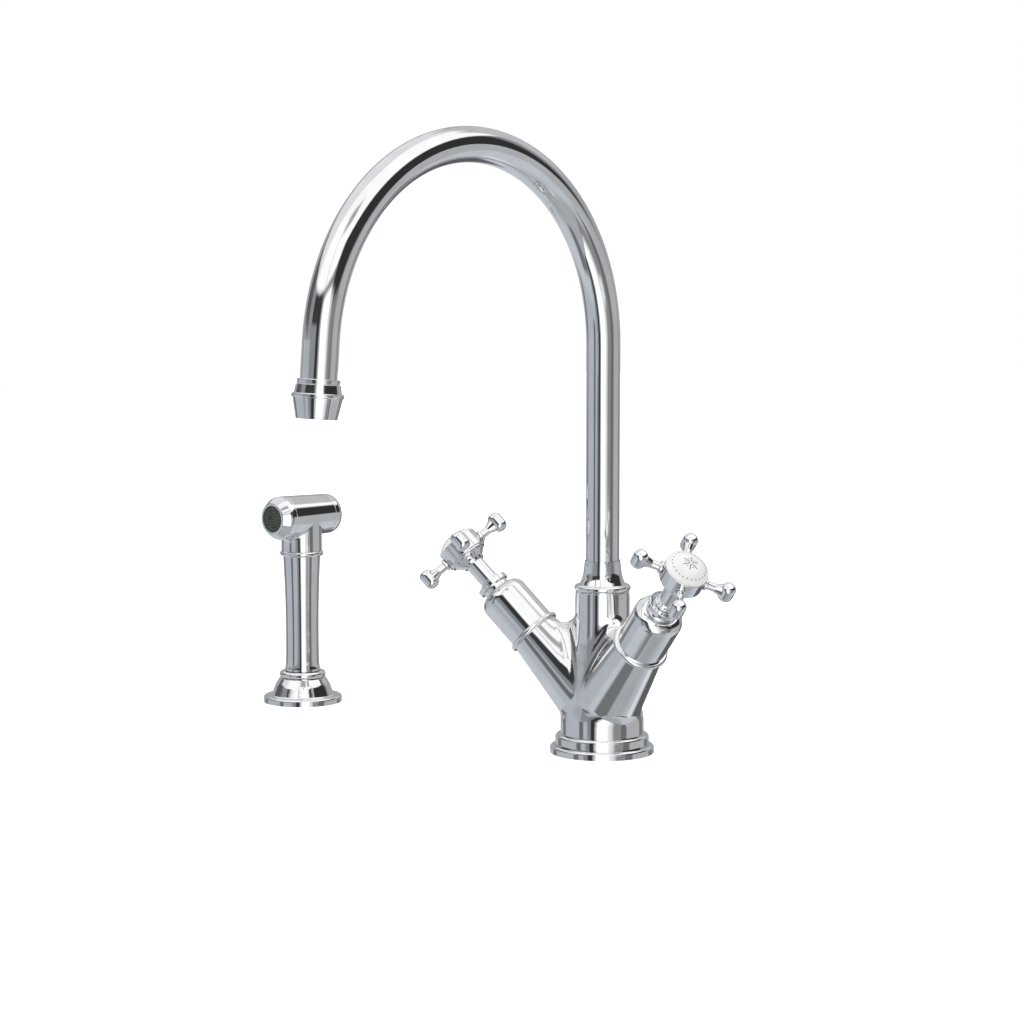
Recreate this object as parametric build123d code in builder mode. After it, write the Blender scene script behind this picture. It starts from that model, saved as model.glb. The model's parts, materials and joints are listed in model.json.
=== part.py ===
from build123d import *
import os
from math import cos, radians, sin, tan

# A two-handle kitchen faucet with a swivelling swan-neck spout and a separate side spray.
# Millimetres, +Z up. The origin is the middle of the faucet's foot on the deck; the spout
# reaches towards -Y, the cold handle is on the +X side and the spray stands on the -X side.

os.makedirs("parts", exist_ok=True)

# ---------------------------------------------------------------- clearances
running = 0.05  # radial play of a shaft, piston or ring in its bore
push = 0.05  # radial play of fixed pieces that are pushed or screwed together
passing = 0.3  # gap between faces that move past each other
overcut = 1.0  # how far a cut runs past the surface it starts from
fine_edge = 0.3  # rounding of small edges
soft_edge = 0.5  # rounding of the edges that a hand meets

deck = 0.0  # height of the counter that the faucet stands on

# ---------------------------------------------------------------- body casting
flare_rise = 10.0  # straight neck between the foot and the flare
flare_h = 56.0
flare_foot_bend = 30.0
flare_top_bend = 80.0
column_h = 101.0
column_wall = 4.2
column_thread_h = 5.0
thread_wall = 2.0
arm_swing = 71.0  # degrees from the spout's direction to each valve arm
arm_slope = 45.0  # degrees above the deck
arm_root_h = 27.4  # where the arm axes meet the column axis
arm_len = 65.4
arm_tip_r = 16.3
arm_taper = 6.1  # half angle of the arm's cone, degrees
arm_root_r = arm_tip_r + arm_len * tan(radians(arm_taper))  # where the axes meet
crotch_r = 10.0  # rounding where the arms run into the column

# ---------------------------------------------------------------- foot
neck_proud = 3.4  # how far the casting's neck stands outside the cones of the arms
casting_neck_r = arm_root_r + neck_proud
foot_step_r = casting_neck_r + 3.3
foot_step_h = 6.0
foot_groove = 0.9  # depth of the groove between step and flange
foot_groove_h = 1.0
foot_flange_r = foot_step_r + 3.3
foot_flange_h = 5.0
foot_edge = 1.9  # rounding of the foot's upper edges
spigot_r = casting_neck_r - 3.5  # part of the casting that the base ring slips over
gasket_inset = 2.2  # from the flange's rim to the gasket
gasket_lip = 2.0  # from the spigot to the gasket
gasket_h = 1.5

# water passages in the casting
port_circle_r = 14.0
port_r = 4.6
port_depth = 12.0
stud_r = 5.1
stud_depth = 14.0
passage_r = 3.0
socket_floor = 60.0
chamber_r = 7.0  # mixing chamber under the socket
chamber_floor = 36.0

# ---------------------------------------------------------------- valves, lengths along the arm axis
seal_h = 2.5
seal_width = 4.0
disc_h = 2.5
disc_r = 7.5
disc_port_r = 1.9
water_room = 7.0  # length left for the water behind the spindle's driver
barrel_wall = 0.8
barrel_land = 1.1  # how far the ends of the barrel stand out from its waist
barrel_land_len = 2.4
barrel_end = 2.4  # solid end of the barrel, under the hexagon
window_r = 1.8
window_count = 4
hex_room = 2.45  # from the hexagon's corners to the bell
hex_h = 6.0
spindle_r = 4.0
driver_h = 3.0
gland_wall = 2.45  # wall of the headwork's neck round the spindle
bell_r = 16.0
bell_len = 37.7
bell_wall = 2.0
bell_top = 2.5
bell_shoulder = 7.0
bead_proud = 2.15  # how far the bell's bead stands out
bead_h = 3.4
bead_roundness = 0.45  # share of a bead's height that each of its edges is rounded by
nut_wall = 2.35
nut_neck_h = 3.0
nut_rim = 1.85  # how far the nut's rim stands out
nut_rim_h = 3.7
sleeve_wall = 2.1
sleeve_foot = 1.15  # how far the sleeve's foot stands out
sleeve_foot_h = 1.5
sleeve_len = 16.3

# ---------------------------------------------------------------- cross handles
hub_r = 14.1
hub_drum_h = 11.0
hub_rim = 0.9  # how far the rim under the drum stands back
hub_rim_h = 1.4
hub_skirt = 2.5  # how far the skirt stands back
hub_skirt_h = 5.6
hub_lip_h = 0.6
hub_foot_r = 7.6
hub_foot_h = 1.6
hub_foot_draft = 0.4
square_share = 1.4  # flats of the spindle's square end, as a share of the spindle's radius
square_len = 9.0
clamp_web = 2.0
screw_r = 2.0
screw_head_r = 4.5
screw_head_h = 3.0
screw_room = 1.5  # round the screw's head
screw_slot = 1.2
spoke_at = 6.4  # spoke axis below the top of the hub
spoke_reach = 33.7
spoke_tenon_r = 2.5
spoke_tenon_len = 5.2
spoke_collar_r = 4.0
spoke_collar_h = 1.6
spoke_groove = 0.4
spoke_stem_r = 2.8
spoke_knob_r = 4.8  # the knobs are small drums that stand along the handle's axis
spoke_knob_h = 13.0
spoke_knob_round = 0.8  # rounding of a knob's rims, as a share of its radius
spoke_cone_len = 8.0  # where the stem widens into the knob
spoke_cone_fill = 0.94  # how much of the knob the cone's wide end fills
spoke_count = 4
cold_turn_phase = 59.0  # how far each cross is turned about its spindle, degrees
hot_turn_phase = 28.0
index_inset = 0.3  # from the hub's edge to the index disc
index_seat_wall = 1.9
index_seat_h = 1.5
index_rim_h = 1.0
index_dome_h = 5.2

# ---------------------------------------------------------------- spout
tube_r = 10.8
tube_wall = 1.5
tube_seat = 12.0  # from the spigot's foot up to the tube's lower end
spigot_wall = 2.4  # round the tube
spring_h = 262.0  # height where the arch starts
arch_r = 123.4
arch_sweep = 175.0
drop_len = 22.0
tube_engagement = 8.0  # length of tube inside the nozzle
bush_h = 1.7
oring_section = 1.8
oring_pitch = 4.2
oring_first = 2.0
oring_count = 2
thrust_h = 1.7
collar_foot = 0.15  # how far the collar's foot stands back from the column
collar_foot_h = 2.9
collar_groove = 1.2  # depth of the groove between the foot and the bead
collar_groove_h = 0.5
collar_bead = 0.6  # how far the collar's bead stands out from the column
collar_bead_h = 3.9
collar_shoulder = 3.25  # how far the cone stands back from the bead
collar_cone_h = 15.4
collar_bend_at = 0.32  # share of the cone's height where it turns up
collar_bend = 20.0
collar_flare = 1.2  # how much wider the cone is there than at its lip
collar_lip = 0.35

# nozzle, lengths along the spout's end
nozzle_wall = 1.75  # round the tube
nozzle_band_h = 2.6
nozzle_groove = 0.4
nozzle_groove_h = 0.5
nozzle_drum = 0.4  # how far the drum's top stands out from the band
nozzle_flare = 0.9  # how much wider the drum is at its foot
nozzle_ring = 2.7  # how far the ring stands out from the band
nozzle_ring_at = 8.2
nozzle_ring_h = 2.6
nozzle_ring_edge = 0.75
nozzle_skirt = 0.8  # how far the skirt stands back from the ring
nozzle_taper = 2.5
nozzle_len = 23.0
nozzle_ledge_h = 1.5
nozzle_ledge = 1.65
mouth_wall = 1.65
aerator_wall = 1.5
aerator_washer_h = 1.6
aerator_web_h = 2.0
aerator_web_at = 1.0
aerator_jet_r = 1.0
aerator_jet_pitch = 3.3
aerator_jet_rings = 2
aerator_recess = 0.5
mesh_h = 0.8
mesh_up = 1.2
mesh_hole_r = 0.6
mesh_pitch = 2.1
mesh_rings = 3

# ---------------------------------------------------------------- diverter
diverter_h = 22.0
diverter_wall = 2.5
diverter_lip_h = 1.2
diverter_lip = 1.45  # how far the lip reaches in over the spring
piston_h = 8.0
piston_groove = 0.9
piston_bore_r = 1.6
spring_wire_r = 0.35
spring_coil_r = 3.4
spring_turns = 6

# ---------------------------------------------------------------- side spray
spray_spacing = 279.0
holder_bore_r = 12.0
holder_flange = 5.6  # how far the flange stands out from the cone
holder_flange_h = 4.6
holder_edge = 1.6
holder_cone = 5.7  # how far the cone's foot stands out from its top
holder_cone_h = 12.3
holder_bulge = 0.8  # how far the cone's middle stands out from a straight line
holder_bulge_at = 0.62  # share of the cone's height where that is
holder_bulge_bend = 10.0
holder_cone_edge = 1.3  # rounding of the cone's foot
holder_cone_wall = 4.2  # at the cone's top
holder_groove = 2.2
holder_groove_h = 0.3
holder_ring_wall = 4.15
holder_ring_h = 4.6
holder_gasket_inset = 2.6
holder_gasket_width = 4.0
liner_wall = 1.9
grip_foot_r = 12.4
grip_foot_edge = 1.5  # straight edge under the grip's flared foot
grip_flare = 0.7  # how far the foot flares out
grip_flare_h = 5.5
grip_waist_r = 11.55
grip_top_r = 13.15
grip_waist_at = 0.375  # share of the grip's length where its waist lies
grip_len = 81.2
grip_bore_r = 7.5
grip_spigot_r = 10.5
grip_spigot_len = 9.5
grip_wall = 3.4  # round the hose end's plug
tail_gap = 0.45  # between the hose end and the holder's liner
tail_len = 16.8
tail_plug_len = 12.0
hose_thread_r = 7.0
hose_thread_len = 12.0
tail_bore_r = 4.0
bead_ring = 1.0  # how far the bead stands out from the head's neck
bead_ring_h = 3.6
head_neck_r = 14.3
neck_step = 1.0  # narrowing of the water way at the foot of the head
neck_len = 8.7  # from the bead ring to the underside of the head's barrel
head_front_r = 15.4
head_rear_r = 14.1
head_front = 18.0  # lengths along the head's axis, forwards from the grip's axis
head_rear = 20.5
head_blend = 2.5
chamber_wall = 4.6  # round the valve chamber in the head's rear
valve_web_at = 4.0
valve_web_h = 4.0
valve_port_r = 3.0
nose_socket_wall = 4.4
nose_socket_len = 7.0
nose_tenon_wall = 2.95
nose_len = 10.0
nose_shoulder = 6.0
nose_rim = 1.75
nose_edge = 0.9
face_r = 9.3
face_h = 3.4
face_recess = 0.6
face_hole_r = 0.5
face_hole_pitch = 2.0
face_hole_rings = 4
cap_len = 9.3
cap_round = 6.8
cap_tenon_len = 4.5
button_edge = 2.2
button_flange = 2.3  # how far the flange that holds the button in stands out
button_flange_gap = 0.4  # between that flange and the valve chamber
button_flange_h = 1.7
button_travel = 2.5
button_left_proud = 0.1  # how far a pressed button still stands out
stem_r = 1.5
spray_seal_r = 4.5
spray_seal_h = 2.2
spray_spring_coil_r = 3.2
spray_spring_turns = 8

# ---------------------------------------------------------------- sizes that follow from the ones above
foot_h = foot_flange_h + foot_groove_h + foot_step_h
gasket_bore_r = spigot_r + gasket_lip
gasket_r = foot_flange_r - gasket_inset
tube_bore_r = tube_r - tube_wall
spout_fit_r = tube_r + push + spigot_wall
socket_r = spout_fit_r + running  # spout socket in the column
column_thread_r = socket_r + thread_wall
column_r = socket_r + column_wall
collar_foot_r = column_r - collar_foot
collar_bead_r = column_r + collar_bead

cavity_r = disc_r + 2 * push
waist_r = cavity_r + barrel_wall
barrel_r = waist_r + barrel_land
valve_bore_r = barrel_r + push
cavity_len = 2 * disc_h + driver_h + water_room
valve_floor = arm_len - barrel_end - cavity_len - seal_h
headwork_r = spindle_r + running + gland_wall
hex_corner_r = bell_r - bell_wall - hex_room
nut_bore_r = headwork_r + push
sleeve_r = spindle_r + push + sleeve_wall
square_flats = square_share * spindle_r

cone_top = holder_flange_h + holder_cone_h
holder_ring_foot = cone_top + holder_groove_h
holder_top = holder_ring_foot + holder_ring_h
grip_foot = holder_top + passing
grip_top = grip_foot + grip_len
bead_top = grip_top + bead_ring_h
head_height = bead_top + neck_len + head_front_r

# ---------------------------------------------------------------- axes that the pieces are turned about
column_axis = Plane.XY
spray_axis = Plane((-spray_spacing, 0, deck))
head_axis = Plane((-spray_spacing, 0, head_height), x_dir=(1, 0, 0), z_dir=(0, -1, 0))

sweep_end = radians(arch_sweep)
drop_way = Vector(0, -sin(sweep_end), cos(sweep_end))
arch_end = Vector(0, -arch_r + arch_r * cos(sweep_end), spring_h + arch_r * sin(sweep_end))
nozzle_axis = Plane(arch_end + drop_way * drop_len, x_dir=(1, 0, 0), z_dir=drop_way)


def arm_axis(side):
    """The axis of a valve arm: side is 1 for cold and -1 for hot."""
    swing = radians(arm_swing)
    slope = radians(arm_slope)
    way = Vector(side * sin(swing) * cos(slope), -cos(swing) * cos(slope), sin(slope))
    return Plane((0, 0, arm_root_h), x_dir=Vector(way.Y, -way.X, 0).normalized(), z_dir=way)


def at(axis, height):
    """The plane square to an axis, at a height along it."""
    return axis.offset(height)


def outward(axis, height, angle):
    """The plane at a height of an axis that faces away from it, at an angle round it in degrees."""
    way = axis.x_dir * cos(radians(angle)) + axis.y_dir * sin(radians(angle))
    return Plane(at(axis, height).origin, x_dir=axis.z_dir, z_dir=way)


def meridian(axis):
    """The plane that an axis's outlines are drawn in: x is the radius and y the height."""
    return Plane(axis.origin, x_dir=axis.x_dir, z_dir=axis.x_dir.cross(axis.z_dir))


def turn(axis, *outline, mode=Mode.ADD):
    """Turns a closed outline about an axis, in the part that is being built.

    A corner is (radius, height) or (radius, height, rounding)."""
    corners = [corner[:2] for corner in outline]
    roundings = [corner[2] if len(corner) > 2 else 0 for corner in outline]
    with BuildSketch(meridian(axis)) as profile:
        with BuildLine():
            FilletPolyline(*corners, radius=roundings, close=True)
        make_face()
    revolve(profile.sketch, axis=Axis(axis.origin, axis.z_dir), mode=mode)


def ring(axis, inner_r, outer_r, low, high, rounding=0, mode=Mode.ADD):
    """Turns a plain ring between two heights."""
    corners = ((inner_r, low), (outer_r, low), (outer_r, high), (inner_r, high))
    turn(axis, *[(*corner, rounding) for corner in corners], mode=mode)


def bore(axis, radius, low, high):
    """Cuts a round hole along an axis, between two heights."""
    with BuildSketch(at(axis, low)) as hole:
        Circle(radius)
    extrude(hole.sketch, amount=high - low, mode=Mode.SUBTRACT)


def passage(start, end):
    """Cuts a round water passage between two points."""
    run = Vector(*end) - Vector(*start)
    with BuildSketch(Plane(start, z_dir=run)) as hole:
        Circle(passage_r)
    extrude(hole.sketch, amount=run.length, mode=Mode.SUBTRACT)


def ring_of_holes(axis, hole_r, pitch, rings, low, high):
    """Cuts rings of small round holes through a disc, six more in each ring."""
    with BuildSketch(at(axis, low)) as holes:
        Circle(hole_r)
        for number in range(1, rings + 1):
            with PolarLocations(number * pitch, 6 * number):
                Circle(hole_r)
    extrude(holes.sketch, amount=high - low, mode=Mode.SUBTRACT)


def coil(axis, coil_r, low, high, turns):
    """Winds a round-wire compression spring between two heights, in the part that is being built."""
    rise = high - low - 4 * spring_wire_r
    foot = axis.offset(low + 2 * spring_wire_r).origin
    with BuildLine() as wire:
        Helix(pitch=rise / turns, height=rise, radius=coil_r, center=foot, direction=axis.z_dir)
    with BuildSketch(Plane(wire.line @ 0, z_dir=wire.line % 0)) as section:
        Circle(spring_wire_r)
    sweep(section.sketch, path=wire.line, is_frenet=True)


def save(piece, name):
    """Labels a finished piece and writes it."""
    piece.part.label = name
    export_step(piece.part, f"parts/{name}.step")


# ================================================================ foot and casting

with BuildPart() as base_ring:
    groove_top = foot_flange_h + foot_groove_h
    turn(
        column_axis,
        (spigot_r + push, deck),
        (foot_flange_r, deck),
        (foot_flange_r, foot_flange_h, foot_edge),
        (foot_step_r - foot_groove, foot_flange_h),
        (foot_step_r - foot_groove, groove_top),
        (foot_step_r, groove_top),
        (foot_step_r, foot_h, foot_edge),
        (spigot_r + push, foot_h),
    )
    # recess for the gasket in the underside
    ring(column_axis, gasket_bore_r - push, gasket_r + push, deck, gasket_h, mode=Mode.SUBTRACT)
save(base_ring, "base_ring")

with BuildPart() as base_gasket:
    ring(column_axis, gasket_bore_r, gasket_r, deck, gasket_h)
save(base_gasket, "base_gasket")

flare_low = foot_h + flare_rise
water_at = valve_floor + seal_h + cavity_len - water_room / 2  # middle of the valve's windows

with BuildPart() as body_casting:
    turn(
        column_axis,
        (0, deck),
        (spigot_r, deck),
        (spigot_r, foot_h),
        (casting_neck_r, foot_h),
        (casting_neck_r, flare_low, flare_foot_bend),
        (column_r, flare_low + flare_h, flare_top_bend),
        (column_r, column_h),
        (0, column_h),
    )
    for side in (1, -1):
        turn(
            arm_axis(side),
            (0, 0),
            (arm_root_r, 0),
            (arm_tip_r, arm_len),
            (0, arm_len),
        )
    # the creases between arms and column are cast with a generous radius
    fillet(body_casting.edges().filter_by(GeomType.BSPLINE), radius=crotch_r)
    with BuildSketch(at(column_axis, column_h)):
        Circle(column_thread_r)
    extrude(amount=column_thread_h)
    bore(column_axis, socket_r, socket_floor, column_h + column_thread_h)
    bore(column_axis, chamber_r, chamber_floor, socket_floor)
    for side in (1, -1):
        bore(arm_axis(side), valve_bore_r, valve_floor, arm_len)
        inlet = (side * port_circle_r, 0, port_depth)
        with BuildSketch(Plane((side * port_circle_r, 0, deck))):
            Circle(port_r)
        extrude(amount=port_depth, mode=Mode.SUBTRACT)
        passage(inlet, at(arm_axis(side), valve_floor + push).origin)
        passage(at(arm_axis(side), water_at).origin, (0, 0, socket_floor - chamber_r))
    # spray outlet behind and fixing stud hole in front
    with BuildSketch(Plane((0, port_circle_r, deck))):
        Circle(port_r)
    extrude(amount=port_depth, mode=Mode.SUBTRACT)
    passage((0, port_circle_r, port_depth), (0, 0, chamber_floor + passage_r))
    with BuildSketch(Plane((0, -port_circle_r, deck))):
        Circle(stud_r)
    extrude(amount=stud_depth, mode=Mode.SUBTRACT)
save(body_casting, "body_casting")

# ================================================================ spout and its bearing in the column

collar_seat = column_h + column_thread_h
spigot_foot = socket_floor + bush_h + passing
spigot_top = collar_seat - thrust_h - passing
tube_foot = spigot_foot + tube_seat

with BuildPart() as spout_collar:
    groove_low = column_h + collar_foot_h
    bead_low = groove_low + collar_groove_h
    cone_foot = bead_low + collar_bead_h
    collar_throat_r = tube_r + passing
    lip_r = collar_throat_r + collar_lip
    turn(
        column_axis,
        (column_thread_r + push, column_h),
        (collar_foot_r, column_h),
        (collar_foot_r, groove_low, soft_edge),
        (collar_foot_r - collar_groove, groove_low),
        (collar_foot_r - collar_groove, bead_low),
        (collar_bead_r, bead_low, collar_bead_h * bead_roundness),
        (collar_bead_r, cone_foot, collar_bead_h * bead_roundness),
        (collar_bead_r - collar_shoulder, cone_foot, fine_edge),
        (lip_r + collar_flare, cone_foot + collar_cone_h * collar_bend_at, collar_bend),
        (lip_r, cone_foot + collar_cone_h),
        (collar_throat_r, cone_foot + collar_cone_h),
        (collar_throat_r, collar_seat),
        (column_thread_r + push, collar_seat),
    )
save(spout_collar, "spout_collar")

with BuildPart() as spout_bush:
    ring(column_axis, tube_bore_r, spout_fit_r, socket_floor, socket_floor + bush_h)
save(spout_bush, "spout_bush")

oring_r = spout_fit_r - oring_section / 2 - running / 2
oring_low = spigot_foot + oring_first + oring_section / 2
oring_heights = [oring_low + oring_pitch * number for number in range(oring_count)]

with BuildPart() as spout_spigot:
    turn(
        column_axis,
        (tube_bore_r, spigot_foot),
        (spout_fit_r, spigot_foot, soft_edge),
        (spout_fit_r, spigot_top),
        (tube_r + push, spigot_top),
        (tube_r + push, tube_foot),
        (tube_bore_r, tube_foot),
    )
    for height in oring_heights:
        groove = oring_section / 2 + push
        ring(
            column_axis,
            oring_r - groove,
            spout_fit_r + overcut,
            height - groove,
            height + groove,
            mode=Mode.SUBTRACT,
        )
save(spout_spigot, "spout_spigot")

with BuildPart() as spout_o_rings:
    for height in oring_heights:
        with BuildSketch(Plane.XZ):
            with Locations((oring_r, height)):
                Circle(oring_section / 2)
        revolve(axis=Axis.Z)
save(spout_o_rings, "spout_o_rings")

with BuildPart() as spout_thrust_washer:
    ring(column_axis, tube_r + push, spout_fit_r, spigot_top, spigot_top + thrust_h)
save(spout_thrust_washer, "spout_thrust_washer")

with BuildPart() as spout_tube:
    with BuildLine(Plane.YZ) as spout_route:
        riser = Line((0, tube_foot), (0, spring_h))
        arch = JernArc(riser @ 1, riser % 1, radius=arch_r, arc_size=arch_sweep)
        Line(arch @ 1, (arch @ 1) + (arch % 1) * (drop_len + tube_engagement))
    with BuildSketch(at(column_axis, tube_foot)):
        Circle(tube_r)
        Circle(tube_bore_r, mode=Mode.SUBTRACT)
    sweep(path=spout_route.line)
save(spout_tube, "spout_tube")

# ================================================================ nozzle and aerator

band_r = tube_r + push + nozzle_wall
drum_r = band_r + nozzle_drum
drum_top = nozzle_band_h + nozzle_groove_h
ring_r = band_r + nozzle_ring
ring_foot = nozzle_ring_at + nozzle_ring_h
mouth_r = ring_r - nozzle_skirt - nozzle_taper
aerator_r = mouth_r - mouth_wall - push
ledge_r = aerator_r + push - nozzle_ledge
ledge_low = tube_engagement + nozzle_ledge_h

with BuildPart() as nozzle:
    turn(
        nozzle_axis,
        (tube_r + push, 0),
        (band_r, 0, soft_edge),
        (band_r, nozzle_band_h, fine_edge),
        (band_r - nozzle_groove, nozzle_band_h),
        (band_r - nozzle_groove, drum_top),
        (drum_r, drum_top, fine_edge),
        (drum_r + nozzle_flare, nozzle_ring_at),
        (ring_r, nozzle_ring_at, nozzle_ring_edge),
        (ring_r, ring_foot, nozzle_ring_edge),
        (ring_r - nozzle_skirt, ring_foot),
        (mouth_r, nozzle_len, soft_edge),
        (aerator_r + push, nozzle_len),
        (aerator_r + push, ledge_low),
        (ledge_r, ledge_low),
        (ledge_r, tube_engagement),
        (tube_r + push, tube_engagement),
    )
save(nozzle, "nozzle")

with BuildPart() as aerator_washer:
    ring(nozzle_axis, ledge_r, aerator_r, ledge_low, ledge_low + aerator_washer_h)
save(aerator_washer, "aerator_washer")

aerator_top = ledge_low + aerator_washer_h
aerator_foot = nozzle_len - aerator_recess
mesh_foot = aerator_foot - mesh_up
mesh_seat_r = aerator_r - aerator_wall

with BuildPart() as aerator_housing:
    web_from = aerator_top + aerator_web_at
    web_to = web_from + aerator_web_h
    ring(nozzle_axis, mesh_seat_r, aerator_r, aerator_top, aerator_foot, rounding=fine_edge)
    ring(nozzle_axis, 0, mesh_seat_r, web_from, web_to)
    ring_of_holes(
        nozzle_axis, aerator_jet_r, aerator_jet_pitch, aerator_jet_rings, web_from, web_to
    )
save(aerator_housing, "aerator_housing")

with BuildPart() as aerator_mesh:
    ring(nozzle_axis, 0, mesh_seat_r - push, mesh_foot - mesh_h, mesh_foot)
    ring_of_holes(nozzle_axis, mesh_hole_r, mesh_pitch, mesh_rings, mesh_foot - mesh_h, mesh_foot)
save(aerator_mesh, "aerator_mesh")

# ================================================================ diverter in the mixing chamber

piston_foot = chamber_floor + passing
piston_top = piston_foot + piston_h
lip_low = chamber_floor + diverter_h - diverter_lip_h
diverter_bore_r = chamber_r - push - diverter_wall
diverter_lip_r = diverter_bore_r - diverter_lip

with BuildPart() as diverter_sleeve:
    turn(
        column_axis,
        (diverter_bore_r, chamber_floor),
        (chamber_r - push, chamber_floor),
        (chamber_r - push, chamber_floor + diverter_h),
        (diverter_lip_r, chamber_floor + diverter_h),
        (diverter_lip_r, lip_low),
        (diverter_bore_r, lip_low),
    )
    windows_at = at(column_axis, (piston_top + lip_low) / 2).origin
    for crosswise in ((1, 0, 0), (0, 1, 0)):
        with BuildSketch(Plane(windows_at, z_dir=crosswise)):
            Circle(window_r)
        extrude(amount=chamber_r, both=True, mode=Mode.SUBTRACT)
save(diverter_sleeve, "diverter_sleeve")

with BuildPart() as diverter_piston:
    piston_r = diverter_bore_r - running
    piston_mid = (piston_foot + piston_top) / 2
    ring(column_axis, piston_bore_r, piston_r, piston_foot, piston_top, rounding=fine_edge)
    ring(
        column_axis,
        piston_r - piston_groove,
        piston_r + overcut,
        piston_mid - piston_groove,
        piston_mid + piston_groove,
        mode=Mode.SUBTRACT,
    )
save(diverter_piston, "diverter_piston")

with BuildPart() as diverter_spring:
    coil(column_axis, spring_coil_r, piston_top, lip_low, spring_turns)
save(diverter_spring, "diverter_spring")

# ================================================================ the two valves and their cross handles

seal_top = valve_floor + seal_h
fixed_top = seal_top + disc_h
moving_foot = fixed_top + running
driver_foot = moving_foot + disc_h
cavity_top = seal_top + cavity_len
bell_end = arm_len + bell_len
rim_foot = bell_end + nut_neck_h
nut_end = rim_foot + nut_rim_h
sleeve_low = nut_end + passing
hub_foot = sleeve_low + sleeve_len
skirt_top = hub_foot + hub_skirt_h
drum_low = skirt_top + hub_rim_h
hub_top = drum_low + hub_drum_h
square_end = hub_foot + square_len
web_top = square_end + push + clamp_web
spoke_height = hub_top - spoke_at
index_r = hub_r - index_inset
index_seat_r = hub_r - index_seat_wall
index_ball_r = (index_r**2 + index_dome_h**2) / (2 * index_dome_h)  # the dome is part of a ball
shoulder = min(bell_shoulder, (bell_r - nut_bore_r) * 0.75)

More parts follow.
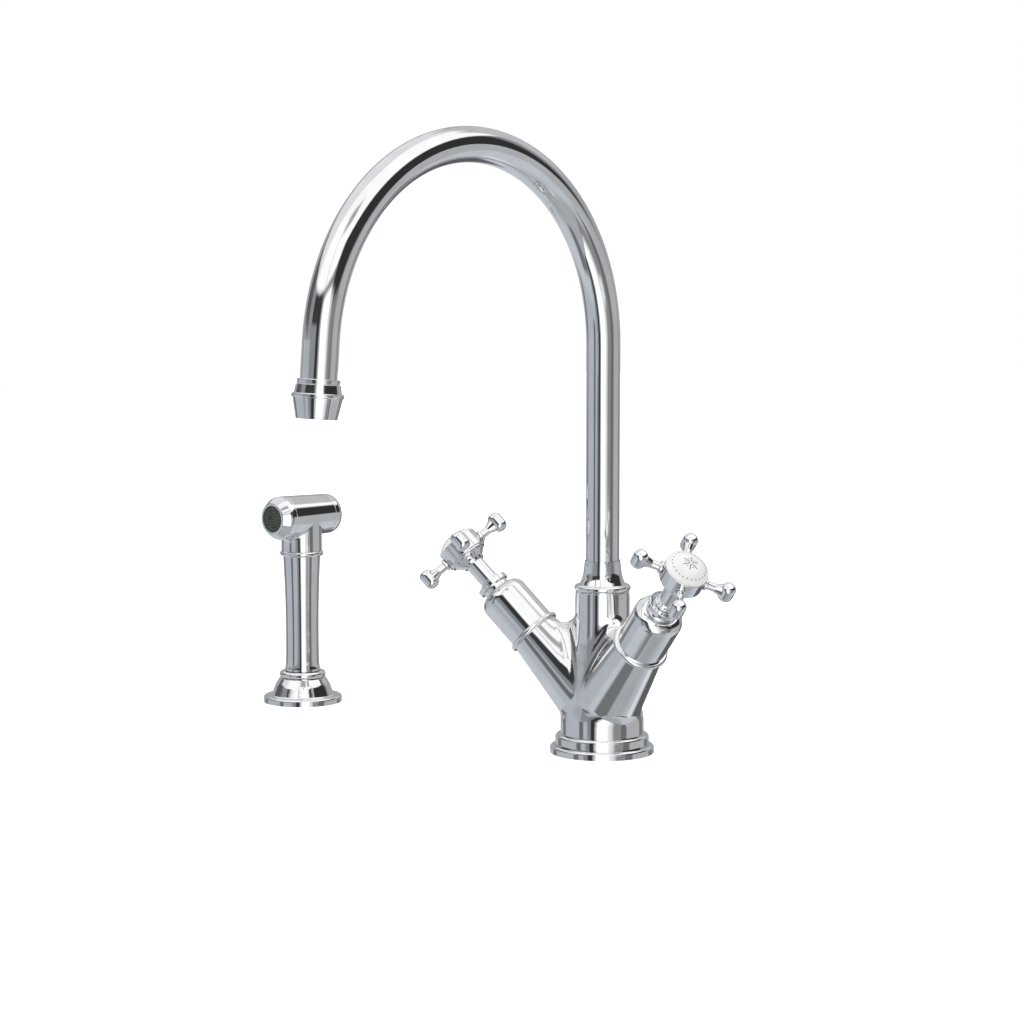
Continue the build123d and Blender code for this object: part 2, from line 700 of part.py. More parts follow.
for side_name, side, phase in (("cold", 1, cold_turn_phase), ("hot", -1, hot_turn_phase)):
    axis = arm_axis(side)

    with BuildPart() as valve_seal:
        ring(axis, barrel_r - seal_width, barrel_r, valve_floor, seal_top)
    save(valve_seal, f"{side_name}_valve_seal")

    with BuildPart() as headwork:
        turn(
            axis,
            (cavity_r, seal_top),
            (barrel_r, seal_top),
            (barrel_r, fixed_top + barrel_land_len),
            (waist_r, fixed_top + barrel_land_len),
            (waist_r, cavity_top),
            (barrel_r, cavity_top),
            (barrel_r, arm_len),
            (headwork_r, arm_len),
            (headwork_r, nut_end),
            (spindle_r + running, nut_end),
            (spindle_r + running, cavity_top),
            (cavity_r, cavity_top),
        )
        with BuildSketch(at(axis, arm_len)):
            RegularPolygon(hex_corner_r, 6)
            Circle(headwork_r, mode=Mode.SUBTRACT)
        extrude(amount=hex_h)
        for number in range(window_count):
            with BuildSketch(outward(axis, water_at, number * 360 / window_count)):
                Circle(window_r)
            extrude(amount=valve_bore_r, mode=Mode.SUBTRACT)
    save(headwork, f"{side_name}_headwork")

    with BuildPart() as fixed_disc:
        ring(axis, 0, disc_r + push, seal_top, fixed_top)
        with BuildSketch(at(axis, seal_top)):
            with PolarLocations(disc_r / 2, 2):
                Circle(disc_port_r)
        extrude(amount=disc_h, mode=Mode.SUBTRACT)
    save(fixed_disc, f"{side_name}_fixed_disc")

    with BuildPart() as moving_disc:
        ring(axis, 0, disc_r, moving_foot, driver_foot)
        with BuildSketch(at(axis, moving_foot)):
            with PolarLocations(disc_r / 2, 2, start_angle=90):
                Circle(disc_port_r)
        extrude(amount=disc_h, mode=Mode.SUBTRACT)
    save(moving_disc, f"{side_name}_moving_disc")

    with BuildPart() as spindle:
        turn(
            axis,
            (0, driver_foot),
            (disc_r - push, driver_foot),
            (disc_r - push, driver_foot + driver_h, fine_edge),
            (spindle_r, driver_foot + driver_h),
            (spindle_r, hub_foot),
            (0, hub_foot),
        )
        with BuildSketch(at(axis, hub_foot)):
            Rectangle(square_flats, square_flats)
        extrude(amount=square_len)
        bore(axis, screw_r + push, hub_foot - square_len / 2, square_end)
    save(spindle, f"{side_name}_spindle")

    with BuildPart() as bell:
        turn(
            axis,
            (bell_r - bell_wall, arm_len),
            (bell_r + bead_proud, arm_len, bead_h * bead_roundness),
            (bell_r + bead_proud, arm_len + bead_h, bead_h * bead_roundness),
            (bell_r, arm_len + bead_h),
            (bell_r, bell_end, shoulder),
            (nut_bore_r, bell_end),
            (nut_bore_r, bell_end - bell_top),
            (bell_r - bell_wall, bell_end - bell_top, shoulder - bell_wall),
        )
    save(bell, f"{side_name}_bell")

    with BuildPart() as bell_nut:
        turn(
            axis,
            (nut_bore_r, bell_end),
            (nut_bore_r + nut_wall, bell_end),
            (nut_bore_r + nut_wall, rim_foot),
            (nut_bore_r + nut_wall + nut_rim, rim_foot, soft_edge),
            (nut_bore_r + nut_wall + nut_rim, nut_end, soft_edge),
            (nut_bore_r, nut_end),
        )
    save(bell_nut, f"{side_name}_bell_nut")

    with BuildPart() as neck_sleeve:
        turn(
            axis,
            (spindle_r + push, sleeve_low),
            (sleeve_r + sleeve_foot, sleeve_low, fine_edge),
            (sleeve_r + sleeve_foot, sleeve_low + sleeve_foot_h, soft_edge),
            (sleeve_r, sleeve_low + sleeve_foot_h),
            (sleeve_r, hub_foot),
            (spindle_r + push, hub_foot),
        )
    save(neck_sleeve, f"{side_name}_neck_sleeve")

    with BuildPart() as handle_hub:
        turn(
            axis,
            (0, hub_foot),
            (hub_foot_r, hub_foot, soft_edge),
            (hub_foot_r + hub_foot_draft, hub_foot + hub_foot_h, 2 * soft_edge),
            (hub_r - hub_skirt, skirt_top - hub_lip_h, soft_edge),
            (hub_r - hub_skirt, skirt_top),
            (hub_r - hub_rim, skirt_top, soft_edge),
            (hub_r - hub_rim, drum_low),
            (hub_r, drum_low, fine_edge),
            (hub_r, hub_top, fine_edge),
            (0, hub_top),
        )
        with BuildSketch(at(axis, hub_foot)):
            Rectangle(square_flats + 2 * push, square_flats + 2 * push)
        extrude(amount=square_len + push, mode=Mode.SUBTRACT)
        bore(axis, screw_r + push, square_end, web_top)
        bore(axis, screw_head_r + screw_room, web_top, hub_top)
        bore(axis, index_seat_r + push, hub_top - index_seat_h, hub_top)
        tenon_foot = hub_r - spoke_tenon_len - push
        for number in range(spoke_count):
            spoke_axis = outward(axis, spoke_height, phase + number * 360 / spoke_count)
            with BuildSketch(at(spoke_axis, tenon_foot)):
                Circle(spoke_tenon_r + push)
            extrude(amount=spoke_tenon_len * 2, mode=Mode.SUBTRACT)
    save(handle_hub, f"{side_name}_handle_hub")

    with BuildPart() as handle_spokes:
        for number in range(spoke_count):
            spoke_axis = outward(axis, spoke_height, phase + number * 360 / spoke_count)
            knob_at = spoke_reach - spoke_knob_r
            turn(
                spoke_axis,
                (0, hub_r - spoke_tenon_len),
                (spoke_tenon_r, hub_r - spoke_tenon_len, fine_edge),
                (spoke_tenon_r, hub_r),
                (spoke_collar_r, hub_r, fine_edge),
                (spoke_collar_r, hub_r + spoke_collar_h, soft_edge),
                (spoke_stem_r, hub_r + spoke_collar_h + spoke_groove),
                (spoke_stem_r, knob_at),
                (0, knob_at),
            )
            with BuildSketch(at(spoke_axis, knob_at - spoke_cone_len)):
                Circle(spoke_stem_r)
            with BuildSketch(at(spoke_axis, knob_at)):
                Ellipse(spoke_cone_fill * spoke_knob_h / 2, spoke_cone_fill * spoke_knob_r)
            loft()
            knob_axis = Plane(at(spoke_axis, knob_at).origin, x_dir=spoke_axis.z_dir, z_dir=axis.z_dir)
            turn(
                knob_axis,
                (0, -spoke_knob_h / 2),
                (spoke_knob_r, -spoke_knob_h / 2, spoke_knob_r * spoke_knob_round),
                (spoke_knob_r, spoke_knob_h / 2, spoke_knob_r * spoke_knob_round),
                (0, spoke_knob_h / 2),
            )
    save(handle_spokes, f"{side_name}_handle_spokes")

    with BuildPart() as handle_screw:
        head_top = web_top + screw_head_h
        turn(
            axis,
            (0, hub_foot),
            (screw_r, hub_foot, fine_edge),
            (screw_r, web_top),
            (screw_head_r, web_top),
            (screw_head_r, head_top, screw_head_h * bead_roundness),
            (0, head_top),
        )
        with BuildSketch(at(axis, head_top - screw_slot)):
            Rectangle(2 * screw_head_r, screw_slot)
        extrude(amount=screw_slot, mode=Mode.SUBTRACT)
    save(handle_screw, f"{side_name}_handle_screw")

    with BuildPart() as index_disc:
        rim_top = hub_top + index_rim_h
        ring(axis, 0, index_seat_r, hub_top - index_seat_h, hub_top)
        ring(axis, 0, index_r, hub_top, rim_top)
        with BuildSketch(meridian(axis)):
            with BuildLine():
                RadiusArc((index_r, rim_top), (0, rim_top + index_dome_h), -index_ball_r)
                Polyline((0, rim_top + index_dome_h), (0, rim_top), (index_r, rim_top))
            make_face()
        revolve(axis=Axis(axis.origin, axis.z_dir))
    save(index_disc, f"{side_name}_index_disc")

# ================================================================ spray holder on the deck

cone_top_r = holder_bore_r + holder_cone_wall
cone_foot_r = cone_top_r + holder_cone
bulge_r = cone_foot_r - holder_cone * holder_bulge_at + holder_bulge
holder_ring_r = holder_bore_r + holder_ring_wall
flange_r = cone_foot_r + holder_flange
holder_gasket_r = flange_r - holder_gasket_inset

with BuildPart() as spray_holder:
    turn(
        spray_axis,
        (holder_bore_r, deck),
        (flange_r, deck),
        (flange_r, holder_flange_h, holder_edge),
        (cone_foot_r, holder_flange_h, holder_cone_edge),
        (bulge_r, holder_flange_h + holder_cone_h * holder_bulge_at, holder_bulge_bend),
        (cone_top_r, cone_top, fine_edge),
        (holder_ring_r - holder_groove, cone_top),
        (holder_ring_r - holder_groove, holder_ring_foot),
        (holder_ring_r, holder_ring_foot, holder_ring_h * bead_roundness),
        (holder_ring_r, holder_top, holder_ring_h * bead_roundness),
        (holder_bore_r, holder_top),
    )
    ring(
        spray_axis,
        holder_gasket_r - holder_gasket_width - push,
        holder_gasket_r + push,
        deck,
        gasket_h,
        mode=Mode.SUBTRACT,
    )
save(spray_holder, "spray_holder")

with BuildPart() as holder_gasket:
    ring(spray_axis, holder_gasket_r - holder_gasket_width, holder_gasket_r, deck, gasket_h)
save(holder_gasket, "holder_gasket")

liner_r = holder_bore_r - push
with BuildPart() as holder_liner:
    ring(spray_axis, liner_r - liner_wall, liner_r, deck, holder_top)
save(holder_liner, "holder_liner")

# ================================================================ spray grip and its hose end

spigot_end = grip_top + grip_spigot_len
tail_foot = grip_foot - tail_len
tail_r = liner_r - liner_wall - tail_gap
tail_plug_r = grip_foot_r - grip_wall

with BuildPart() as spray_tail:
    turn(
        spray_axis,
        (hose_thread_r, tail_foot),
        (tail_r, tail_foot, soft_edge),
        (tail_r, grip_foot),
        (tail_plug_r, grip_foot),
        (tail_plug_r, grip_foot + tail_plug_len, soft_edge),
        (tail_bore_r, grip_foot + tail_plug_len),
        (tail_bore_r, tail_foot + hose_thread_len),
        (hose_thread_r, tail_foot + hose_thread_len),
    )
save(spray_tail, "spray_tail")

with BuildPart() as spray_grip:
    flare_end = grip_foot + grip_foot_edge + grip_flare_h
    flare_top_r = grip_foot_r - grip_flare
    with BuildSketch(meridian(spray_axis)):
        with BuildLine():
            Polyline(
                (grip_bore_r, grip_foot),
                (grip_foot_r, grip_foot),
                (grip_foot_r, grip_foot + grip_foot_edge),
            )
            ThreePointArc(
                (grip_foot_r, grip_foot + grip_foot_edge),
                (flare_top_r + grip_flare / 4, (grip_foot + grip_foot_edge + flare_end) / 2),
                (flare_top_r, flare_end),
            )
            ThreePointArc(
                (flare_top_r, flare_end),
                (grip_waist_r, grip_foot + grip_len * grip_waist_at),
                (grip_top_r, grip_top),
            )
            Polyline(
                (grip_top_r, grip_top),
                (grip_spigot_r, grip_top),
                (grip_spigot_r, spigot_end),
                (grip_bore_r, spigot_end),
                (grip_bore_r, grip_foot),
            )
        make_face()
    revolve(axis=Axis(spray_axis.origin, spray_axis.z_dir))
    bore(spray_axis, tail_plug_r + push, grip_foot, grip_foot + tail_plug_len + push)
save(spray_grip, "spray_grip")

with BuildPart() as spray_bead:
    bead_r = head_neck_r + bead_ring
    turn(
        spray_axis,
        (grip_spigot_r + push, grip_top),
        (bead_r, grip_top, bead_ring_h * bead_roundness),
        (bead_r, bead_top, bead_ring_h * bead_roundness),
        (grip_spigot_r + push, bead_top),
    )
save(spray_bead, "spray_bead")

# ================================================================ spray head

rear = -head_rear
cap_end = rear - cap_len
web_front = valve_web_at + valve_web_h
socket_rear = head_front - nose_socket_len
nose_socket_r = head_front_r - nose_socket_wall
nose_bore_r = nose_socket_r - push - nose_tenon_wall
valve_chamber_r = head_rear_r - chamber_wall

with BuildPart() as spray_head:
    turn(
        head_axis,
        (0, rear),
        (head_rear_r, rear, fine_edge),
        (head_front_r, head_front, fine_edge),
        (0, head_front),
    )
    with BuildSketch(at(spray_axis, bead_top)):
        Circle(head_neck_r)
    extrude(amount=head_height - bead_top)
    fillet(spray_head.edges().filter_by(GeomType.BSPLINE), radius=head_blend)
    bore(head_axis, nose_socket_r, socket_rear, head_front)
    bore(head_axis, nose_bore_r, web_front, socket_rear)
    bore(head_axis, valve_port_r, valve_web_at, web_front)
    bore(head_axis, valve_chamber_r, rear, valve_web_at)
    bore(spray_axis, grip_spigot_r + push, bead_top, spigot_end + push)
    bore(spray_axis, grip_bore_r - neck_step, spigot_end, head_height - valve_chamber_r / 2)
save(spray_head, "spray_head")

with BuildPart() as spray_nose:
    nose_front = head_front + nose_len
    face_seat = nose_front - face_recess - face_h
    turn(
        head_axis,
        (nose_bore_r, socket_rear + push),
        (nose_socket_r - push, socket_rear + push),
        (nose_socket_r - push, head_front),
        (head_front_r, head_front, fine_edge),
        (head_front_r, nose_front - nose_shoulder, nose_shoulder),
        (face_r + push + nose_rim, nose_front, nose_edge),
        (face_r + push, nose_front),
        (face_r + push, face_seat),
        (nose_bore_r, face_seat),
    )
save(spray_nose, "spray_nose")

with BuildPart() as spray_face:
    ring(head_axis, 0, face_r, face_seat, face_seat + face_h)
    ring_of_holes(
        head_axis, face_hole_r, face_hole_pitch, face_hole_rings, face_seat, face_seat + face_h
    )
save(spray_face, "spray_face")

button_flange_r = valve_chamber_r - button_flange_gap
button_r = button_flange_r - button_flange
cap_bore_r = button_r + passing
with BuildPart() as spray_rear_cap:
    turn(
        head_axis,
        (cap_bore_r, cap_end),
        (head_rear_r, cap_end, cap_round),
        (head_rear_r, rear, fine_edge),
        (valve_chamber_r - push, rear),
        (valve_chamber_r - push, rear + cap_tenon_len),
        (cap_bore_r, rear + cap_tenon_len),
    )
save(spray_rear_cap, "spray_rear_cap")

button_foot = rear + cap_tenon_len + passing
button_inner = button_foot + button_flange_h
button_end = cap_end - button_travel - button_left_proud
with BuildPart() as spray_button:
    turn(
        head_axis,
        (0, button_end),
        (button_r, button_end, button_edge),
        (button_r, button_foot),
        (button_flange_r, button_foot),
        (button_flange_r, button_inner, fine_edge),
        (0, button_inner),
    )
    bore(head_axis, stem_r + push, button_foot, button_inner)
save(spray_button, "spray_button")

with BuildPart() as spray_stem:
    ring(head_axis, 0, stem_r, button_foot, web_front + passing + spray_seal_h)
save(spray_stem, "spray_stem")

with BuildPart() as spray_seal:
    seal_from = web_front + passing
    ring(head_axis, stem_r, spray_seal_r, seal_from, seal_from + spray_seal_h)
save(spray_seal, "spray_seal")

with BuildPart() as spray_spring:
    coil(head_axis, spray_spring_coil_r, button_inner, valve_web_at, spray_spring_turns)
save(spray_spring, "spray_spring")
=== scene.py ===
import json
from math import cos, pi, radians, sin, sqrt

import bpy
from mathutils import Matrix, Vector
from mathutils.bvhtree import BVHTree


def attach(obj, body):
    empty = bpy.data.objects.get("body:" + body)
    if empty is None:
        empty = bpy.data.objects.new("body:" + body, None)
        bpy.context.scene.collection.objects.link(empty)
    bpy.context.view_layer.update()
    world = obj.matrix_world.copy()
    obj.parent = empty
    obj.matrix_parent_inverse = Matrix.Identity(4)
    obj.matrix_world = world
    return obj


# A chrome kitchen faucet with a swan-neck spout, two cross handles and a side spray.
# Metres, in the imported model's frame: +Z up, the spout reaches towards -Y.

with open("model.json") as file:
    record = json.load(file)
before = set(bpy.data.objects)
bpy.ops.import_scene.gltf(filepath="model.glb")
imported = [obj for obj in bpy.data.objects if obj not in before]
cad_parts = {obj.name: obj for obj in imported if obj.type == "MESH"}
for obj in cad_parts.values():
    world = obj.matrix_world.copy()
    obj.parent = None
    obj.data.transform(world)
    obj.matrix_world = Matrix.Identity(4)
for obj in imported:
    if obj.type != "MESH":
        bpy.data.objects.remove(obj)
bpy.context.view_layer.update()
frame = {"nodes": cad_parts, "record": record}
scene = bpy.context.scene
nodes = frame["nodes"]

# ---------------------------------------------------------------- camera, at the photograph's place
camera_azimuth = 42.616  # degrees from -Y towards +X
camera_back = 1.8593  # from the faucet's axis, along the line of sight over the floor
camera_right = -0.05774
camera_height = 0.35813
camera_pitch = 6.249  # degrees below the horizon
camera_lens = 103.36
camera_film = 36.0


def camera_way(angle):
    """The level direction at an angle from the camera's own, in degrees, seen from the faucet."""
    turned = radians(camera_azimuth + angle)
    return Vector((sin(turned), -cos(turned), 0))


def add_camera():
    data = bpy.data.cameras.new("camera")
    data.lens = camera_lens
    data.sensor_width = camera_film
    data.clip_start = 0.05
    camera = bpy.data.objects.new("camera", data)
    camera.location = camera_way(0) * camera_back + camera_way(90) * camera_right
    camera.location.z = camera_height
    camera.rotation_euler = (radians(90 - camera_pitch), 0, radians(camera_azimuth))
    scene.collection.objects.link(camera)
    scene.camera = camera


# ---------------------------------------------------------------- shader helpers
class Shader:
    """A node tree that is written from left to right."""

    def __init__(self, tree):
        self.tree = tree
        self.tree.nodes.clear()

    def add(self, kind, inputs=(), output=0, **settings):
        """Adds a node. Each input is a (socket, value or other node's socket) pair."""
        node = self.tree.nodes.new(kind)
        for name, value in settings.items():
            setattr(node, name, value)
        for socket, value in inputs:
            if isinstance(value, bpy.types.NodeSocket):
                self.tree.links.new(value, node.inputs[socket])
            else:
                node.inputs[socket].default_value = value
        return node.outputs[output] if node.outputs else node

    def math(self, operation, *values):
        return self.add("ShaderNodeMath", list(enumerate(values)), operation=operation)

    def ramp(self, value, low, high, to_low=0.0, to_high=1.0, smooth=True):
        """Maps a value from one range to another, with soft ends."""
        kind = "SMOOTHSTEP" if smooth else "LINEAR"
        inputs = ((0, value), (1, low), (2, high), (3, to_low), (4, to_high))
        return self.add("ShaderNodeMapRange", inputs, interpolation_type=kind)

    def mix(self, amount, first, second):
        return self.add(
            "ShaderNodeMix", ((0, amount), (6, first), (7, second)), output=2, data_type="RGBA"
        )


def grey(level, blue=0.0):
    """A neutral colour, or a slightly cold one."""
    return (level * (1 - blue), level * (1 - blue * 0.6), level, 1)


# ---------------------------------------------------------------- studio round the object
# Soft boxes and dark panels, as the chrome sees them. Each row is: name, from, to, softness across,
# lowest, highest, softness up, level, blue. Later rows lie over earlier ones. The names say where
# a panel stands or what it draws: a line, an edge, the haze on the horizon, the crown overhead.

# far away, in degrees: across from the camera's direction to the right, and up from the horizon
STUDIO = (
    ("under_front", -30, 60, 14, -90, -26, 10, 0.46, 0.08),
    ("under_dark", -78, -34, 14, -70, -41, 8, 0.20, 0.1),
    ("side_left", -120, -35, 6, -26, 6, 8, 0.56, 0.14),
    ("grey_left", -68, -55, 6, -15, 3, 6, 0.17, 0.1),
    ("under_back", 134, 178, 8, -44, -11, 6, 0.13, 0.08),
    ("under_line", 120, 131, 4, -60, -44, 5, 0.80, 0.05),
    ("side_right", 76, 118, 8, -26, 5, 8, 0.48, 0.03),
    ("grey_right", 44, 70, 8, -26, 3, 6, 0.17, 0.05),
    ("dark_right", 30, 112, 10, 5, 33, 4, 0.035, 0.1),
    ("haze_left", -64, -15, 3, 3, 14, 5, 0.30, 0.1),
    ("dark_left", -64, -15, 3, 12, 25, 3, 0.05, 0.1),
    ("dark_far_left", -135, -90, 14, 6, 28, 8, 0.12, 0.1),
    ("back_right", 122, 180, 10, -8, 20, 6, 0.42, 0.05),
    ("back_left", -180, -128, 10, -8, 24, 6, 0.42, 0.05),
    ("crown", -8, 22, 10, 49, 62, 6, 0.45, 0.03),
    ("crown_right", 124, 178, 8, 18, 50, 8, 0.58, 0.03),
    ("edge_right", 124, 142, 8, -22, -4, 6, 0.2, 0.05),
    ("edge_left", -140, -122, 8, -22, -4, 6, 0.2, 0.05),
)

# on a backdrop in front of the faucet, in metres: across to the right, and height
screen_distance = 0.72
screen_size = 1.0
SCREEN = (
    ("grey", -0.66, -0.38, 0.16, -0.62, 0.20, 0.10, 0.27, 0.08),
    ("dark", -0.46, -0.29, 0.07, -0.65, 0.50, 0.06, 0.04, 0.1),
    ("far_fall", 0.30, 0.90, 0.20, -0.62, 0.42, 0.08, 0.29, 0.02),
    ("fall", 0.08, 0.36, 0.20, -0.50, 0.46, 0.08, 0.85, 0.0),
    ("low_fill", 0.18, 0.58, 0.16, -0.07, 0.06, 0.06, 0.85, 0.0),
    ("key", -0.19, 0.15, 0.16, -0.50, 0.50, 0.08, 1.6, 0.0),
)


def panel_mask(shader, across, up, left, right, soft, low, high, blur):
    """How much of the view a panel covers, fading out over its softness."""
    middle, half = (left + right) / 2, (right - left) / 2
    turned = shader.math("WRAP", shader.math("SUBTRACT", across, middle), 180.0, -180.0)
    sideways = shader.ramp(shader.math("ABSOLUTE", turned), half + soft / 2, half - soft / 2)
    upward = shader.ramp(up, low - blur / 2, low + blur / 2)
    downward = shader.ramp(up, high + blur / 2, high - blur / 2)
    return shader.math("MULTIPLY", shader.math("MULTIPLY", sideways, upward), downward)


def add_world():
    world = bpy.data.worlds.new("studio")
    world.use_nodes = True
    scene.world = world
    shader = Shader(world.node_tree)
    ray = shader.add("ShaderNodeTexCoord")
    turned = shader.add(
        "ShaderNodeVectorRotate",
        (("Vector", ray), ("Angle", radians(-camera_azimuth))),
        rotation_type="Z_AXIS",
    )
    split = shader.add("ShaderNodeSeparateXYZ", ((0, turned),)).node
    ahead = shader.math("MULTIPLY", split.outputs[1], -1.0)
    across = shader.math("ARCTAN2", split.outputs[0], ahead)
    across = shader.math("MULTIPLY", across, 180 / pi)
    up = shader.math("MULTIPLY", shader.math("ARCSINE", split.outputs[2]), 180 / pi)

    # pale floor below, darker haze at the horizon, a large overhead soft box
    below = shader.mix(shader.ramp(up, -85, -50), grey(0.42, 0.1), grey(0.66, 0.12))
    level = shader.mix(shader.ramp(up, -16, -2), below, grey(0.30, 0.05))
    behind = shader.ramp(shader.math("ABSOLUTE", shader.math("ADD", across, -35.0)), 100, 125)
    overhead = shader.mix(behind, grey(1.15), grey(0.85, 0.03))
    seam = shader.ramp(shader.math("ABSOLUTE", shader.math("ADD", across, 14.0)), 3.5, 1.0)
    overhead = shader.mix(shader.math("MULTIPLY", seam, 0.45), overhead, grey(0.4))
    lift = shader.ramp(across, 15, 60, 0.0, 9.0)
    top = shader.ramp(shader.math("SUBTRACT", up, lift), 23.5, 28.5)
    colour = shader.mix(top, level, overhead)
    for name, left, right, soft, low, high, blur, strength, blue in STUDIO:
        mask = panel_mask(shader, across, up, left, right, soft, low, high, blur)
        colour = shader.mix(mask, colour, grey(strength, blue))

    # the chrome sees the studio, the camera a white backdrop, and everything else an even light
    light = shader.add("ShaderNodeLightPath").node
    plain = shader.mix(light.outputs["Is Glossy Ray"], grey(0.62), colour)
    seen = shader.mix(light.outputs["Is Camera Ray"], plain, grey(1.0))
    seen = shader.mix(light.outputs["Is Transmission Ray"], seen, grey(1.0))
    background = shader.add("ShaderNodeBackground", (("Color", seen), ("Strength", 1.0)))
    shader.add("ShaderNodeOutputWorld", (("Surface", background),))


def add_screen():
    """A backdrop with the key light and the dark strips beside it, which only the chrome sees."""
    mesh = bpy.data.meshes.new("screen")
    rows = ((-1, -1), (1, -1), (1, 1), (-1, 1))
    mesh.from_pydata([(x * screen_size, 0, z * screen_size) for x, z in rows], [], [(0, 1, 2, 3)])
    screen = bpy.data.objects.new("screen", mesh)
    screen.location = camera_way(0) * screen_distance
    screen.rotation_euler = (0, 0, radians(camera_azimuth))
    scene.collection.objects.link(screen)
    screen.visible_camera = False
    screen.visible_diffuse = False
    screen.visible_transmission = False
    screen.visible_shadow = False
    material = bpy.data.materials.new("screen")
    material.use_nodes = True
    shader = Shader(material.node_tree)
    place = shader.add("ShaderNodeTexCoord").node.outputs["Object"]
    split = shader.add("ShaderNodeSeparateXYZ", ((0, place),)).node
    surface = shader.add("ShaderNodeBsdfTransparent")
    across, up = split.outputs[0], split.outputs[2]
    for name, left, right, soft, low, high, blur, strength, blue in SCREEN:
        mask = panel_mask(shader, across, up, left, right, soft, low, high, blur)
        panel = shader.add("ShaderNodeEmission", (("Color", grey(strength, blue)),))
        surface = shader.add("ShaderNodeMixShader", ((0, mask), (1, surface), (2, panel)))
    shader.add("ShaderNodeOutputMaterial", (("Surface", surface),))
    mesh.materials.append(material)


lamp_aim = (-0.1, -0.05, 0.12)  # between the faucet and the spray


def add_lamp(name, angle, height, distance, size, power):
    data = bpy.data.lights.new(name, "AREA")
    data.size = size
    data.energy = power
    lamp = bpy.data.objects.new(name, data)
    lamp.location = camera_way(angle) * distance
    lamp.location.z = height
    aim = Vector(lamp_aim) - lamp.location
    lamp.rotation_euler = aim.to_track_quat("-Z", "Y").to_euler()
    lamp.visible_glossy = False
    scene.collection.objects.link(lamp)


floor_size = 3.0
glow_from, glow_to = 0.35, 1.0  # how far from the faucet the floor's glow begins and is full


def add_floor():
    mesh = bpy.data.meshes.new("floor")
    rows = ((-1, -1), (1, -1), (1, 1), (-1, 1))
    mesh.from_pydata([(x * floor_size, y * floor_size, 0) for x, y in rows], [], [(0, 1, 2, 3)])
    floor = bpy.data.objects.new("floor", mesh)
    scene.collection.objects.link(floor)
    floor.visible_glossy = False
    material = bpy.data.materials.new("floor")
    material.use_nodes = True
    shader = Shader(material.node_tree)
    diffuse = shader.add("ShaderNodeBsdfDiffuse", (("Color", grey(0.78)),))
    place = shader.add("ShaderNodeTexCoord").node.outputs["Object"]
    reach = shader.add("ShaderNodeVectorMath", ((0, place),), output=1, operation="LENGTH")
    strength = shader.ramp(reach, glow_from, glow_to, 0.5, 1.1)
    glow = shader.add("ShaderNodeEmission", (("Color", grey(1.0)), ("Strength", strength)))
    light = shader.add("ShaderNodeLightPath").node
    both = shader.add("ShaderNodeAddShader", ((0, diffuse), (1, glow)))
    in_view = light.outputs["Is Camera Ray"]
    surface = shader.add("ShaderNodeMixShader", ((0, in_view), (1, diffuse), (2, both)))
    shader.add("ShaderNodeOutputMaterial", (("Surface", surface),))
    mesh.materials.append(material)


# ---------------------------------------------------------------- materials
def principled(name, color, roughness, metallic=0.0, **sockets):
    """A new material's shader, with the values that are the same all over set on its sockets."""
    material = bpy.data.materials.new(name)
    material.use_nodes = True
    shader = Shader(material.node_tree)
    surface = shader.add("ShaderNodeBsdfPrincipled").node
    surface.inputs["Base Color"].default_value = color
    surface.inputs["Roughness"].default_value = roughness
    surface.inputs["Metallic"].default_value = metallic
    for socket, value in sockets.items():
        surface.inputs[socket.replace("_", " ")].default_value = value
    shader.add("ShaderNodeOutputMaterial", (("Surface", surface.outputs[0]),))
    return material, shader, surface


def noise(shader, scale, detail=3.0, rough=0.5):
    place = shader.add("ShaderNodeTexCoord").node.outputs["Object"]
    return shader.add(
        "ShaderNodeTexNoise",
        (("Vector", place), ("Scale", scale), ("Detail", detail), ("Roughness", rough)),
    )


def vary(shader, surface, colors, roughness, scale, depth, fine_scale):
    """Lets a surface's colour, roughness and height change a little from place to place."""
    cloud = noise(shader, scale)
    shade = shader.mix(shader.ramp(cloud, 0.35, 0.65), colors[0], colors[1])
    shader.tree.links.new(shade, surface.inputs["Base Color"])
    spread = shader.ramp(cloud, 0.3, 0.7, *roughness)
    shader.tree.links.new(spread, surface.inputs["Roughness"])
    fine = noise(shader, fine_scale, detail=2.0)
    bump = shader.add(
        "ShaderNodeBump", (("Height", fine), ("Strength", 1.0), ("Distance", depth))
    )
    shader.tree.links.new(bump, surface.inputs["Normal"])


def make_chrome():
    material, shader, surface = principled("chrome", grey(0.86), 0.04, metallic=1.0)
    vary(shader, surface, (grey(0.84, 0.02), grey(0.88, 0.01)), (0.025, 0.05), 60, 2e-7, 900)
    return material


def make_brass():
    material, shader, surface = principled("brass", (0.80, 0.62, 0.34, 1), 0.25, metallic=1.0)
    colors = ((0.80, 0.62, 0.34, 1), (0.70, 0.52, 0.27, 1))
    vary(shader, surface, colors, (0.2, 0.34), 90, 4e-6, 1500)
    return material


def make_porcelain():
    glaze = {"Coat_Weight": 0.6, "Coat_Roughness": 0.03}
    material, shader, surface = principled("porcelain", grey(0.86), 0.08, **glaze)
    colors = ((0.86, 0.86, 0.85, 1), (0.82, 0.82, 0.81, 1))
    vary(shader, surface, colors, (0.07, 0.12), 120, 4e-6, 500)
    return material


def make_ceramic():
    material, shader, surface = principled("valve_ceramic", (0.85, 0.84, 0.80, 1), 0.35)
    colors = ((0.85, 0.84, 0.80, 1), (0.80, 0.79, 0.75, 1))
    vary(shader, surface, colors, (0.3, 0.4), 200, 2e-6, 2500)
    return material


def make_rubber():
    material, shader, surface = principled("rubber", grey(0.03), 0.6)
    vary(shader, surface, (grey(0.028), grey(0.04)), (0.5, 0.7), 150, 2e-5, 1800)
    return material


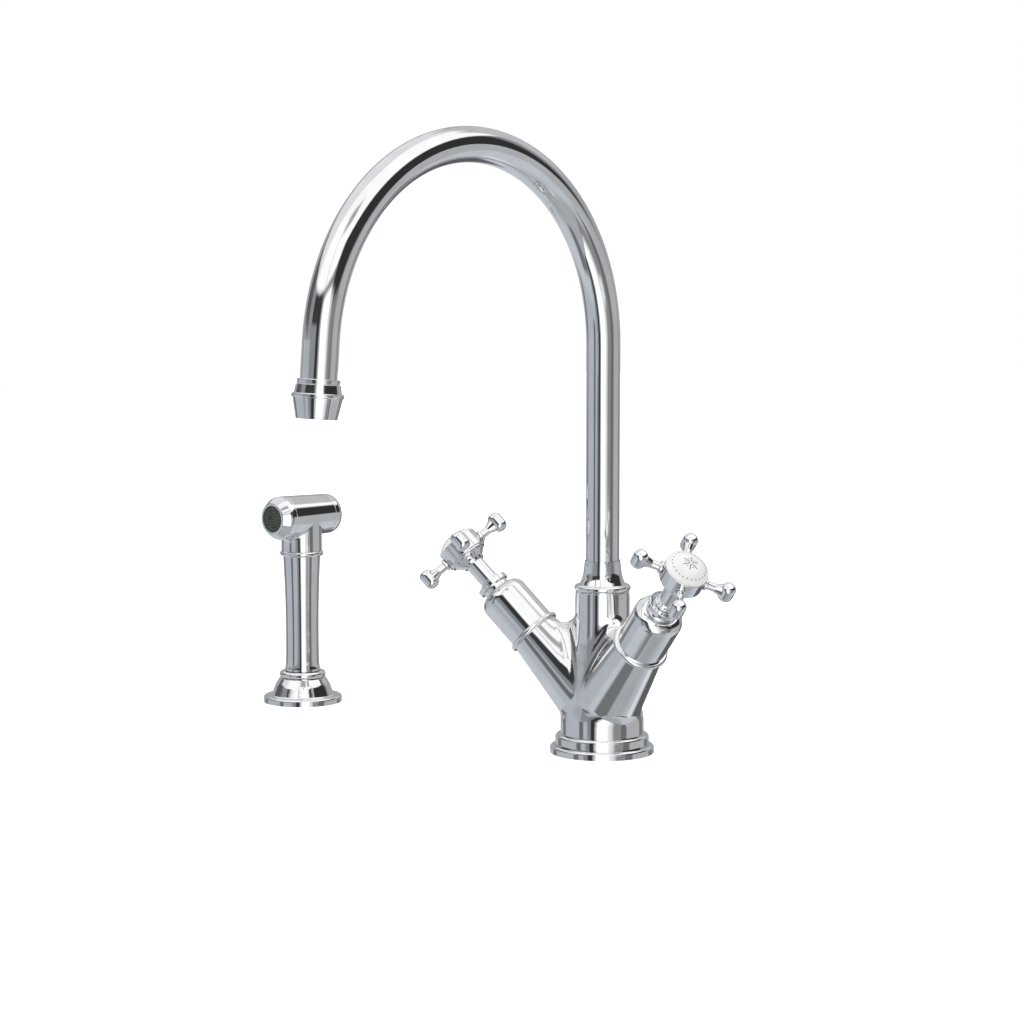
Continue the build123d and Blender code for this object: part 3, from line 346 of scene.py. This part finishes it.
def make_plastic():
    material, shader, surface = principled("plastic", (0.80, 0.80, 0.77, 1), 0.4)
    colors = ((0.80, 0.80, 0.77, 1), (0.76, 0.76, 0.73, 1))
    vary(shader, surface, colors, (0.35, 0.5), 130, 1e-5, 1400)
    return material


def make_steel():
    material, shader, surface = principled("steel", grey(0.6), 0.28, metallic=1.0)
    vary(shader, surface, (grey(0.62, 0.02), grey(0.52, 0.02)), (0.22, 0.36), 160, 4e-6, 2200)
    return material


def make_outlet():
    material, shader, surface = principled("outlet", (0.04, 0.045, 0.036, 1), 0.45)
    colors = ((0.028, 0.032, 0.025, 1), (0.075, 0.085, 0.066, 1))
    vary(shader, surface, colors, (0.38, 0.55), 900, 2e-5, 2600)
    return material


def make_ink():
    material, shader, surface = principled("index_ink", grey(0.3), 0.3)
    vary(shader, surface, (grey(0.26, 0.05), grey(0.34, 0.05)), (0.25, 0.4), 900, 2e-6, 3000)
    return material


FINISHES = {
    "chrome": make_chrome,
    "brass": make_brass,
    "porcelain": make_porcelain,
    "valve_ceramic": make_ceramic,
    "rubber": make_rubber,
    "plastic": make_plastic,
    "steel": make_steel,
    "outlet": make_outlet,
}


def dress_nodes():
    """Gives each CAD node the finish of its material slot."""
    finishes = {slot: make() for slot, make in FINISHES.items()}
    for part in frame["record"]["subparts"]:
        mesh = nodes[part["node"]].data
        for index in range(len(mesh.materials)):
            mesh.materials[index] = finishes[part["material_slot"]]


# ---------------------------------------------------------------- marks on the index discs
mark_lift = 0.00008  # height of a mark over the glaze
mark_root = 0.0002  # how deep it reaches into it
dot_count = 24
dot_ring = 0.0108
dot_r = 0.00045
arm_width = 0.0008


class Marks:
    """Thin raised marks that follow the dome of one side's index disc."""

    def __init__(self, side):
        self.side = side
        joints = {joint["name"]: joint for joint in frame["record"]["behaviour"]["joints"]}
        joint = joints[f"{side}_turn"]
        disc = nodes[f"{side}_index_disc"].data
        self.tree = BVHTree.FromPolygons(
            [vertex.co for vertex in disc.vertices], [face.vertices for face in disc.polygons]
        )
        self.root = Vector(joint["pos_m"])
        self.way = Vector(joint["axis"]).normalized()
        self.across = Vector((self.way.y, -self.way.x, 0)).normalized()
        self.up = self.way.cross(self.across)
        self.corners, self.faces = [], []

    def drape(self, point, lift):
        """The place on the dome over a point of the disc, or a little off it."""
        start = self.root + self.way * 0.3 + self.across * point[0] + self.up * point[1]
        place, normal = self.tree.ray_cast(start, -self.way)[:2]
        return place + normal * lift

    def ribbon(self, rows):
        """A closed band between pairs of points."""
        base = len(self.corners)
        for left, right in rows:
            self.corners += [self.drape(left, -mark_root), self.drape(left, mark_lift)]
            self.corners += [self.drape(right, mark_lift), self.drape(right, -mark_root)]
        for row in range(len(rows) - 1):
            here, there = base + 4 * row, base + 4 * row + 4
            for edge in range(4):
                after = (edge + 1) % 4
                self.faces.append((here + edge, here + after, there + after, there + edge))
        last = base + 4 * (len(rows) - 1)
        self.faces.append((base + 3, base + 2, base + 1, base))
        self.faces.append((last, last + 1, last + 2, last + 3))

    def dot(self, x, y, radius):
        steps = (-0.95, -0.8, -0.4, 0.0, 0.4, 0.8, 0.95)
        halves = [(x + step * radius, radius * sqrt(1 - step**2)) for step in steps]
        self.ribbon([((at, y - half), (at, y + half)) for at, half in halves])

    def bar(self, angle, inner, outer):
        """A bar that points away from the disc's middle."""
        along = (cos(angle), sin(angle))
        off = (-along[1] * arm_width / 2, along[0] * arm_width / 2)
        rows = []
        for step in range(5):
            reach = inner + (outer - inner) * step / 4
            x, y = along[0] * reach, along[1] * reach
            rows.append(((x - off[0], y - off[1]), (x + off[0], y + off[1])))
        self.ribbon(rows)

    def finish(self, material):
        mesh = bpy.data.meshes.new(f"{self.side}_index_marks")
        mesh.from_pydata(self.corners, [], self.faces)
        mesh.materials.append(material)
        marks = bpy.data.objects.new(f"{self.side}_index_marks", mesh)
        scene.collection.objects.link(marks)
        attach(marks, f"{self.side}_handle")


def add_marks(side, ink):
    """A ring of dots round a snow star on the cold disc, and round a sun on the hot one."""
    marks = Marks(side)
    for number in range(dot_count):
        angle = 2 * pi * number / dot_count
        marks.dot(dot_ring * cos(angle), dot_ring * sin(angle), dot_r)
    if side == "cold":
        for number in range(6):
            marks.bar(pi * number / 3, 0.0009, 0.0052)
            between = pi * (number + 0.5) / 3
            marks.dot(0.0034 * cos(between), 0.0034 * sin(between), dot_r)
    else:
        marks.dot(0, 0, 0.0018)
        for number in range(8):
            marks.bar(pi * number / 4, 0.0027, 0.0050)
    marks.finish(ink)


add_camera()
add_world()
add_screen()
add_lamp("soft_left", -50, 1.6, 1.6, 1.4, 16)
add_lamp("soft_right", 60, 1.4, 1.8, 1.2, 9)
add_lamp("soft_top", 160, 2.2, 0.5, 1.6, 14)
add_floor()
dress_nodes()
ink = make_ink()
add_marks("cold", ink)
add_marks("hot", ink)

scene.view_settings.view_transform = "Standard"
